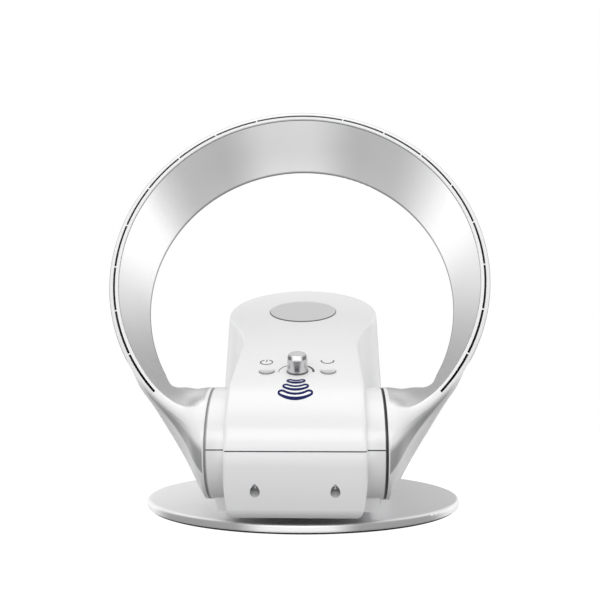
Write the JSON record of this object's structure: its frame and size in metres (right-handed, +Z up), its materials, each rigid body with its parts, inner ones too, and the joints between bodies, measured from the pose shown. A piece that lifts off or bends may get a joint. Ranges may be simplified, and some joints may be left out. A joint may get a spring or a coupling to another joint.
{
  "type": "bladeless fan",
  "caption": "Bladeless table fan: a slotted air ring on two hollow arms, tilting on a low body with a control panel, which swivels on a round metal foot.",
  "frame": {"origin": "centre of the underside of the round foot", "axes": "+Z up, -Y the front that the air leaves by, +X to the right seen from the front"},
  "size_m": [0.2996, 0.3169, 0.3446],
  "materials": {
    "white_gloss": "gloss",
    "silver_satin": "satin metallic paint",
    "badge_silver": "satin",
    "foot_metal": "satin with a polished rim",
    "knob_chrome": "polished",
    "dark_trim": "matte",
    "foot_foam": "matte",
    "seal_rubber": "matte",
    "machine_steel": "machined",
    "post_aluminium": "cast",
    "gear_nylon": "natural nylon",
    "duct_plastic": "moulded",
    "board_green": "circuit board",
    "part_black": "moulded"
  },
  "bodies": {
    "base": {"base_disc": "foot_metal", "base_pad": "foot_foam", "pivot_post": "post_aluminium", "post_screws": "machine_steel", "thrust_washer": "gear_nylon", "drive_gear": "gear_nylon", "gear_screws": "machine_steel"},
    "housing": {"lower_shell": "white_gloss", "upper_shell": "white_gloss", "shell_screws": "machine_steel", "front_screws": "machine_steel", "badge": "badge_silver", "intake_grille": "dark_trim", "knob_bezel": "dark_trim", "speed_sensor": "part_black", "control_board": "board_green", "board_screws": "machine_steel", "power_switch": "part_black", "swing_switch": "part_black", "blower_housing": "duct_plastic", "blower_screws": "machine_steel", "blower_lid": "duct_plastic", "lid_screws": "machine_steel", "diffuser": "duct_plastic", "motor_spider": "duct_plastic", "fan_motor": "post_aluminium", "motor_bearings": "machine_steel", "motor_screws": "machine_steel", "cross_duct": "duct_plastic", "duct_cradles": "duct_plastic", "duct_seals": "seal_rubber", "main_board": "board_green", "capacitors": "post_aluminium", "heat_sink": "post_aluminium", "power_inlet": "dark_trim", "swing_motor": "post_aluminium", "swing_motor_screws": "machine_steel", "hub_bush_left": "gear_nylon", "hub_bush_right": "gear_nylon", "hub_washer_left": "dark_trim", "hub_washer_right": "dark_trim"},
    "ring": {"ring_outer_shell": "white_gloss", "ring_inner_shell": "silver_satin", "arm_left": "white_gloss", "arm_right": "white_gloss", "spigot_clip_left": "machine_steel", "spigot_clip_right": "machine_steel"},
    "knob": {"knob": "knob_chrome", "knob_shaft": "machine_steel"},
    "power_button": {"power_button": "white_gloss", "power_plunger": "part_black"},
    "swing_button": {"swing_button": "white_gloss", "swing_plunger": "part_black"},
    "impeller": {"impeller": "duct_plastic", "motor_shaft": "machine_steel"},
    "pinion": {"drive_pinion": "gear_nylon", "swing_shaft": "machine_steel"}
  },
  "joints": [
    {"name": "body_swivel", "type": "hinge", "parent": "base", "child": "housing", "pos_m": [0, 0, 0.014], "axis": [0, 0, 1], "range_deg": [-45, 45]},
    {"name": "ring_tilt", "type": "hinge", "parent": "housing", "child": "ring", "pos_m": [0, -0.1236, 0.0638], "axis": [1, 0, 0], "range_deg": [-75.34, 14.66]},
    {"name": "knob_turn", "type": "hinge", "parent": "housing", "child": "knob", "pos_m": [0, -0.1306, 0.11697], "axis": [0, -0.4195, 0.9078], "range_deg": [-150, 150]},
    {"name": "power_press", "type": "slide", "parent": "housing", "child": "power_button", "axis": [0, 0.4195, -0.9078], "range_m": [0, 0.0008], "stiffness_N_per_m": 600, "springref_m": -0.0005},
    {"name": "swing_press", "type": "slide", "parent": "housing", "child": "swing_button", "axis": [0, 0.4195, -0.9078], "range_m": [0, 0.0008], "stiffness_N_per_m": 600, "springref_m": -0.0005},
    {"name": "impeller_spin", "type": "hinge", "parent": "housing", "child": "impeller", "pos_m": [0, 0.006, 0.065], "axis": [0, 0, 1], "continuous": true},
    {"name": "pinion_turn", "type": "hinge", "parent": "housing", "child": "pinion", "pos_m": [0, -0.0435, 0.043], "axis": [0, 0, 1], "range_deg": [-142, 142]}
  ],
  "couplings": [
    {"joint": "pinion_turn", "follows": "body_swivel", "ratio": 3.1429}
  ]
}
